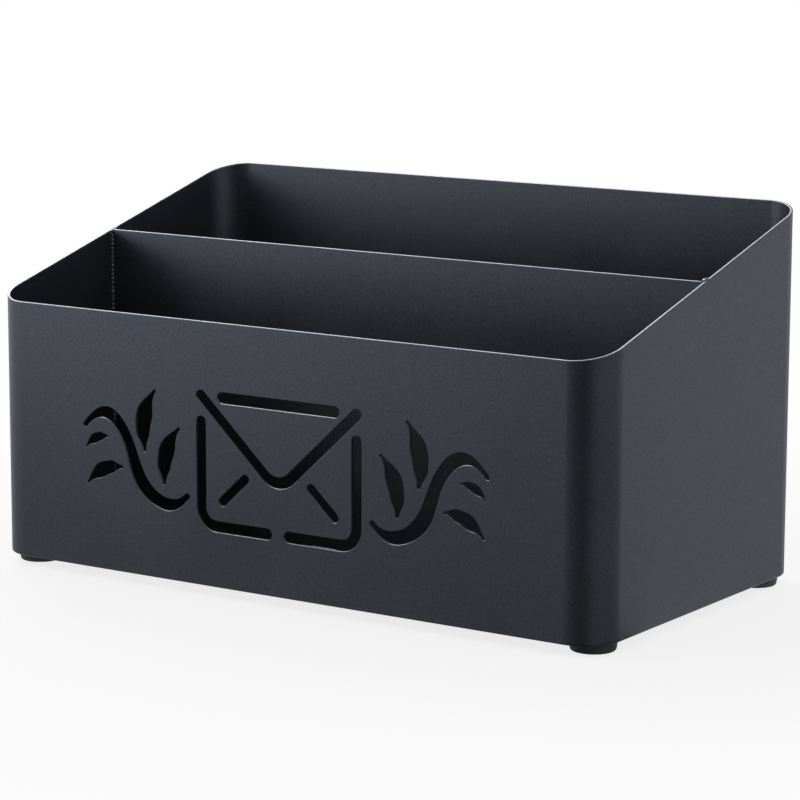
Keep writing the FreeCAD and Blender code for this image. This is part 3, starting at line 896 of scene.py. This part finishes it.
def compass_ramp(tree, turn, column):
    """Light by compass angle, at one of the heights that the studio's levels are given for."""
    ramp = put(tree, "ValToRGB", {"Fac": turn})
    ramp.color_ramp.interpolation = "EASE"
    stops = ramp.color_ramp.elements
    stops.remove(stops[-1])
    for index, (degrees, blue, *levels) in enumerate(STUDIO_LEVELS):
        place = degrees / 360 + 0.5
        stop = stops.new(place) if index else stops[0]
        stop.position = place
        level = levels[column]
        stop.color = (level * (1 - RED_SHARE * blue), level, level * (1 + blue), 1.0)
    return ramp.outputs["Color"]


def make_studio_round():
    """What the coat reflects in each compass direction, from the near floor to high up."""
    tree, given, made = new_group(
        "studio round", {"Direction": "Vector"}, dict.fromkeys(STUDIO_HEIGHTS, "Color"))
    axes = put(tree, "SeparateXYZ", {"Vector": given["Direction"]})
    angle = calc(tree, "ARCTAN2", axes.outputs["Y"], axes.outputs["X"])
    turn = calc(tree, "ADD", calc(tree, "DIVIDE", angle, 2 * pi), 0.5)
    feed(tree, made, {
        label: compass_ramp(tree, turn, index) for index, label in enumerate(STUDIO_HEIGHTS)})
    return tree


powder_grain = make_powder_grain()
dust_specks = make_dust_specks()
studio_round = make_studio_round()


def new_material(name):
    """A material, its node tree, its Principled shader's inputs and its object coordinates."""
    material = bpy.data.materials.new(name)
    material.use_nodes = True
    tree = material.node_tree
    shader = next(item for item in tree.nodes if item.type == "BSDF_PRINCIPLED")
    place = put(tree, "TexCoord").outputs["Object"]
    return material, tree, shader.inputs, place


def raise_relief(tree, inputs, height, distance):
    """Give a shader a fine relief."""
    bump = put(tree, "Bump", {"Height": height, "Distance": distance})
    feed(tree, inputs, {"Normal": bump.outputs["Normal"]})


COAT_COLOUR = (0.0102, 0.0116, 0.0160, 1.0)
COAT_CLOUD = (0.0126, 0.0140, 0.0188, 1.0)
DUST_COLOUR = (0.16, 0.165, 0.18, 1.0)
COAT_SPECULAR = 0.46
COAT_IOR = 1.5
PEEL_SCALE = 900.0
GRAIN_SCALE = 3200.0

# How far the mottle goes in shade and gloss, and how far clouds and grain move the roughness.
MOTTLE_SHADE = (0.8, 1.2)
MOTTLE_GLOSS = (0.0, 0.2)
CLOUD_ROUGHNESS = (-0.02, 0.025)
GRAIN_ROUGHNESS = (-0.02, 0.02)


def make_coat(name, peel_height, roughness, specks):
    """Satin black powder coat."""
    material, tree, inputs, place = new_material(name)
    grain = use_group(tree, powder_grain, {
        "Place": place, "Peel Scale": PEEL_SCALE, "Grain Scale": GRAIN_SCALE})
    dust = use_group(tree, dust_specks, {
        "Place": place, "Scale": 70.0, "Share": specks, "Size": 0.02})["Mask"]
    colour = mix_colours(tree, between(tree, grain["Clouds"], *NOISE_MIDDLE), COAT_COLOUR, COAT_CLOUD)
    shade = between(tree, grain["Mottle"], *NOISE_SPAN, *MOTTLE_SHADE)
    colour = mix_colours(tree, 1.0, colour, shade, "MULTIPLY")
    clouded = [roughness + change for change in CLOUD_ROUGHNESS]
    rough = between(tree, grain["Clouds"], *NOISE_SPAN, *clouded)
    feed(tree, inputs, {
        "Base Color": mix_colours(tree, dust, colour, DUST_COLOUR),
        "Coat Weight": between(tree, grain["Mottle"], *NOISE_SPAN, *MOTTLE_GLOSS),
        "Coat Roughness": roughness,
        "Specular IOR Level": COAT_SPECULAR,
        "IOR": COAT_IOR,
        "Roughness": calc(
            tree, "ADD", rough, between(tree, grain["Grain"], *NOISE_SPAN, *GRAIN_ROUGHNESS)),
    })
    raise_relief(tree, inputs, grain["Height"], peel_height)
    return material


RUBBER_COLOURS = ((0.016, 0.016, 0.017, 1.0), (0.026, 0.026, 0.027, 1.0))
RUBBER_DUST = (0.09, 0.09, 0.095, 1.0)
RUBBER_ROUGHNESS = (0.5, 0.62)
RUBBER_GRAIN_HEIGHT = 0.02 * MM


def make_rubber():
    """Moulded black rubber, matt, with a little dust on it."""
    material, tree, inputs, place = new_material("moulded_black_rubber")
    fine = noise(tree, place, 2600.0, detail=3.0, roughness=0.6)
    slow = noise(tree, place, 160.0)
    dust = use_group(tree, dust_specks, {
        "Place": place, "Scale": 420.0, "Share": 0.16, "Size": 0.07})["Mask"]
    colour = mix_colours(tree, between(tree, slow, *NOISE_MIDDLE), *RUBBER_COLOURS)
    feed(tree, inputs, {
        "Base Color": mix_colours(tree, dust, colour, RUBBER_DUST),
        "Roughness": between(tree, slow, *NOISE_SPAN, *RUBBER_ROUGHNESS),
    })
    raise_relief(tree, inputs, fine, RUBBER_GRAIN_HEIGHT)
    return material


FILM_COLOURS = ((0.16, 0.16, 0.155, 1.0), (0.09, 0.09, 0.088, 1.0))
FILM_ROUGHNESS = (0.3, 0.45)
BUBBLE_RIM = (0.12, 0.2)
BUBBLE_HEIGHT = 0.015 * MM


def make_film():
    """The grey acrylic film under each foot, with fine bubbles."""
    material, tree, inputs, place = new_material("acrylic_adhesive_film")
    cells = put(tree, "TexVoronoi", {"Vector": place, "Scale": 900.0})
    bubbles = between(tree, cells.outputs["Distance"], *BUBBLE_RIM)
    feed(tree, inputs, {
        "Base Color": mix_colours(tree, bubbles, *FILM_COLOURS),
        "Roughness": between(tree, noise(tree, place, 700.0), *NOISE_SPAN, *FILM_ROUGHNESS),
    })
    raise_relief(tree, inputs, bubbles, BUBBLE_HEIGHT)
    return material


coat = make_coat("satin_black_powder_coat", peel_height=0.025 * MM, roughness=0.37, specks=0.14)
weld_coat = make_coat("powder_coat_over_weld", peel_height=0.015 * MM, roughness=0.4, specks=0.05)
rubber = make_rubber()
film = make_film()

add_piece(make_strip(), coat, "powder_coated_steel", "wall_band")
add_piece(make_divider(), coat, "powder_coated_steel", "divider")
add_piece(make_bottom_plate(), coat, "powder_coated_steel", "base_plate")
add_piece(make_ground_seam(), coat, "coated_weld", "band_seam_weld")

# Middles of the beads along walls and divider, as shares of the run between two bends.
WALL_BEAD_SHARES = (-0.4, -0.2, 0.0, 0.2, 0.4)
DIVIDER_BEAD_SHARES = (-0.375, -0.125, 0.125, 0.375)

inner_side = WIDTH / 2 - GAUGE
inner_end = DEPTH / 2 - GAUGE
floor_top = PLATE_HIGH[2]
straight_run = WIDTH - 2 * BEND_RADIUS
wall_starts = straight_run * np.array(WALL_BEAD_SHARES) - BASE_BEAD_LENGTH / 2
divider_starts = straight_run * np.array(DIVIDER_BEAD_SHARES) - BASE_BEAD_LENGTH / 2
side_starts = (
    (DIVIDER_LOW[1] - inner_end) / 2 - BASE_BEAD_LENGTH / 2,
    (DIVIDER_HIGH[1] + inner_end) / 2 - BASE_BEAD_LENGTH / 2,
)
for side, starts, along, arms in (
    ("front", [(x, -inner_end, floor_top) for x in wall_starts], X, (Y, Z)),
    ("back", [(x, inner_end, floor_top) for x in wall_starts], X, (Z, -Y)),
    ("left", [(-inner_side, y, floor_top) for y in side_starts], Y, (Z, X)),
    ("right", [(inner_side, y, floor_top) for y in side_starts], Y, (-X, Z)),
):
    mesh = base_row(f"{side}_foot_beads", starts, along, arms, BASE_BEAD_LEG)
    add_piece(mesh, weld_coat, "coated_weld", f"base_weld_{side}")

starts = [(x, DIVIDER_LOW[1], floor_top) for x in divider_starts]
mesh = base_row("divider_foot_beads", starts, X, (Z, -Y), DIVIDER_BEAD_LEG)
add_piece(mesh, weld_coat, "coated_weld", "divider_foot_weld")

for side, sign in (("left", -1), ("right", 1)):
    low, high = corners_of(f"divider_weld_{side}")
    arms = (-Y, X) if side == "left" else (-X, -Y)
    start = np.array((sign * inner_side, DIVIDER_LOW[1], low[2]))
    run = bead(start, Z, arms, high[2] - low[2], DIVIDER_BEAD_LEG, *DIVIDER_BEAD_POOLS)
    mesh = join_parts(f"divider_side_bead_{side}", [run])
    add_piece(mesh, weld_coat, "coated_weld", f"divider_weld_{side}")


# The balls that make each top tack, in millimetres from the rim's inner edge behind the divider:
# places inward, back and up, then radii along the same ways.
RIGHT_TACK = (
    ((0.15, 1.3, -0.4), (1.25, 1.9, 0.95)),
    ((0.1, 2.7, -0.5), (0.8, 1.2, 0.65)),
    ((0.9, 0.0, -0.8), (0.8, 0.9, 0.65)),
)
LEFT_TACK = (
    ((-0.15, 0.9, -0.45), (0.95, 1.2, 0.75)),
    ((0.4, 0.5, -0.8), (1.0, 1.2, 0.9)),
    ((0.05, 2.2, -0.5), (0.5, 0.8, 0.55)),
    ((0.15, -1.3, -0.6), (0.65, 0.8, 0.6)),
    ((0.35, -2.2, -1.5), (0.4, 0.45, 0.75)),
    ((0.3, -2.6, -2.8), (0.3, 0.35, 0.8)),
)


def tack_balls(balls, sign):
    """The places and radii of a tack's balls, on the side wall that the sign tells."""
    inward = np.array((-sign, 1, 1)) * MM
    placed = []
    for place, radii in balls:
        back = DIVIDER_HIGH[1] + place[1] * MM
        rim = FRONT_TOP + RIM_SLOPE * (back + DEPTH / 2)
        corner = np.array((sign * inner_side, DIVIDER_HIGH[1], rim))
        placed.append((corner + np.array(place) * inward, np.array(radii) * MM))
    return placed


for side, balls, sign in (("left", LEFT_TACK, -1), ("right", RIGHT_TACK, 1)):
    mesh = fused(f"top_corner_tack_{side}", tack_balls(balls, sign))
    add_piece(mesh, weld_coat, "coated_weld", f"rim_tack_{side}")

for spot in ("front_left", "front_right", "back_left", "back_right"):
    foot = make_foot(f"moulded_foot_{spot}", f"rubber_foot_{spot}")
    add_piece(foot, rubber, "black_rubber", f"rubber_foot_{spot}")
    disc = make_sticky_disc(f"sticky_disc_{spot}", f"foot_adhesive_{spot}")
    add_piece(disc, film, "adhesive_film", f"foot_adhesive_{spot}")


# Camera, at the photographed view. Its lens and sensor are in millimetres.
CAMERA_PLACE = (0.6794, -1.0028, 0.2816)
CAMERA_TURN = radians(33.986)
CAMERA_DIP = radians(9.96)
CAMERA_ROLL = radians(0.184)
CAMERA_LENS = 140.45
CAMERA_SENSOR = 36.0
CAMERA_REACH = (0.05, 60.0)


def make_camera():
    """The camera, aimed by its own axes."""
    data = bpy.data.cameras.new("photo_camera")
    data.sensor_width = CAMERA_SENSOR
    data.sensor_fit = "HORIZONTAL"
    data.lens = CAMERA_LENS
    data.clip_start, data.clip_end = CAMERA_REACH
    camera = add_object("photo_camera", data)
    back = Vector((
        sin(CAMERA_TURN) * cos(CAMERA_DIP),
        -cos(CAMERA_TURN) * cos(CAMERA_DIP),
        sin(CAMERA_DIP)))
    right = Vector((cos(CAMERA_TURN), sin(CAMERA_TURN), 0.0))
    up = back.cross(right)
    turned_right = right * cos(CAMERA_ROLL) + up * sin(CAMERA_ROLL)
    turned_up = up * cos(CAMERA_ROLL) - right * sin(CAMERA_ROLL)
    axes = Matrix((turned_right, turned_up, back)).transposed()
    camera.matrix_world = Matrix.Translation(CAMERA_PLACE) @ axes.to_4x4()
    bpy.context.scene.camera = camera


def ray_kinds(tree):
    """Masks for what is seen straight, and for what is mirrored or seen through something."""
    path = put(tree, "LightPath").outputs
    return path["Is Camera Ray"], calc(tree, "MAXIMUM", path["Is Glossy Ray"], path["Is Transmission Ray"])


FLOOR_HALF = 9.0
FLOOR_COLOUR = (0.94, 0.94, 0.94, 1.0)
WHITE = (1.0, 1.0, 1.0, 1.0)

# The floor's share of white at the object, where it turns all white, and where its painted reflection goes
# from the darker near level, a painted shade, to the far one.
FLOOR_WHITENESS = 0.8
FLOOR_FADE = (0.16, 0.5)
FLOOR_PAINTED_REFLECTION = (0.3, 0.9)
FRONT_RIGHT_BEND = (WIDTH / 2 - BEND_RADIUS, BEND_RADIUS - DEPTH / 2, 0.0)


def make_floor():
    """A plain pale floor that keeps the soft shadow and runs out into the white background. In reflections
    it glows instead with a painted reflection of the studio's levels, darker near the object as a painted
    shade.
    """
    mesh = bpy.data.meshes.new("studio_floor")
    corners = [(x * FLOOR_HALF, y * FLOOR_HALF, 0) for x, y in ((-1, -1), (1, -1), (1, 1), (-1, 1))]
    mesh.from_pydata(corners, [], [(0, 1, 2, 3)])
    floor = add_object("studio_floor", mesh)
    material = bpy.data.materials.new("pale_studio_floor")
    material.use_nodes = True
    tree = material.node_tree
    tree.nodes.clear()
    place = put(tree, "TexCoord").outputs["Object"]
    away = put(tree, "VectorMath", {0: place}, operation="LENGTH").outputs["Value"]
    straight, reflected = ray_kinds(tree)
    lit = put(tree, "BsdfDiffuse", {"Color": FLOOR_COLOUR})
    white = put(tree, "Emission", {"Color": WHITE})
    fade = between(tree, away, *FLOOR_FADE, FLOOR_WHITENESS, 1.0)
    fade = calc(tree, "MULTIPLY", fade, straight)
    seen = put(tree, "MixShader", {0: fade, 1: lit.outputs[0], 2: white.outputs[0]})
    # Seen in reflections the floor is a painted glow: the studio's levels by compass angle from the front
    # right bend, dimmer near the object as a painted shade of it.
    from_bend = put(tree, "VectorMath", {0: place, 1: FRONT_RIGHT_BEND}, operation="SUBTRACT").outputs[0]
    studio = use_group(tree, studio_round, {"Direction": from_bend})
    far = between(tree, away, *FLOOR_PAINTED_REFLECTION)
    studio = mix_colours(tree, far, studio["Near Floor"], studio["Far Floor"])
    mirrored = put(tree, "Emission", {"Color": studio})
    surface = put(tree, "MixShader", {0: reflected, 1: seen.outputs[0], 2: mirrored.outputs[0]})
    put(tree, "OutputMaterial", {"Surface": surface.outputs[0]})
    mesh.materials.append(material)


AMBIENT = (0.55, 0.55, 0.55, 1.0)

# Sines of the heights between which the reflected light goes from horizon to above.
HORIZON_HEIGHTS = (0.44, 0.58)


def make_world():
    """White behind the object, the studio's own levels in reflections, even light elsewhere."""
    world = bpy.data.worlds.new("studio_world")
    bpy.context.scene.world = world
    world.use_nodes = True
    tree = world.node_tree
    tree.nodes.clear()
    direction = put(tree, "TexCoord").outputs["Generated"]
    straight, reflected = ray_kinds(tree)
    studio = use_group(tree, studio_round, {"Direction": direction})
    height = put(tree, "SeparateXYZ", {"Vector": direction}).outputs["Z"]
    risen = between(tree, height, *HORIZON_HEIGHTS)
    studio = mix_colours(tree, risen, studio["Horizon"], studio["Above"])
    colour = mix_colours(tree, reflected, AMBIENT, studio)
    colour = mix_colours(tree, straight, colour, WHITE)
    background = put(tree, "Background", {"Color": colour})
    put(tree, "OutputWorld", {"Surface": background.outputs[0]})


# Compass angle and height in degrees, size, and radiance of the soft lights.
SOFTBOXES = {
    "rim_softbox": (148, 40, 1.2, 4.0),
    "left_softbox": (-150, 48, 1.0, 2.2),
    "right_softbox": (40, 58, 0.7, 1.0),
}
SOFTBOX_DISTANCE = 2.4
SOFTBOX_AIM = Vector((0, 0, 0.07))


def add_softbox(name, compass, height, size, radiance):
    """A square soft light aimed at the object."""
    data = bpy.data.lights.new(name, "AREA")
    data.shape = "SQUARE"
    data.size = size
    data.energy = radiance * pi * size * size
    light = add_object(name, data)
    turn, lift = radians(compass), radians(height)
    way = Vector((cos(turn) * cos(lift), sin(turn) * cos(lift), sin(lift)))
    light.location = way * SOFTBOX_DISTANCE + SOFTBOX_AIM
    light.rotation_euler = way.to_track_quat("Z", "Y").to_euler()


make_camera()
make_floor()
make_world()
for name, setting in SOFTBOXES.items():
    add_softbox(name, *setting)

bpy.context.scene.view_settings.view_transform = "Standard"
